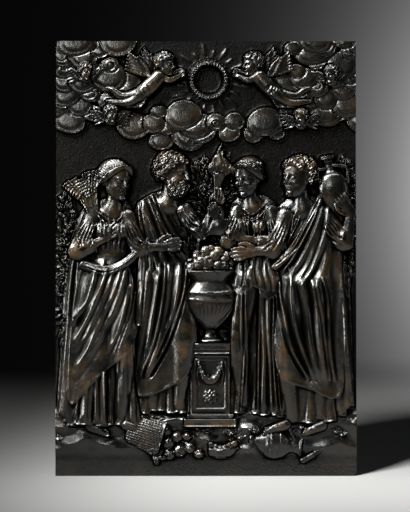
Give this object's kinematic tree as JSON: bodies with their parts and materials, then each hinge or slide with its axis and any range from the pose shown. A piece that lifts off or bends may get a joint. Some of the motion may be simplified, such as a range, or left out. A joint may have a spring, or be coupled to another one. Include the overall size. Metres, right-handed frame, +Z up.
{
  "type": "relief plaque",
  "caption": "Rectangular cast bronze wall plaque with a deep all-over figure relief and a flat back, for hanging or letting into a wall.",
  "frame": {"origin": "centre of the flat back face, where the plaque rests on the wall", "axes": "+Y into the wall, so the relief faces -Y; +Z up, along the plaque's height; +X to the right of someone who looks at the relief"},
  "size_m": [0.208, 0.0207, 0.3],
  "materials": {
    "bronze": "dark brown to black patinated cast bronze, waxed to a gloss, rubbed to warm brown on the high points"
  },
  "bodies": {
    "root": {"plaque": "bronze"}
  },
  "joints": []
}
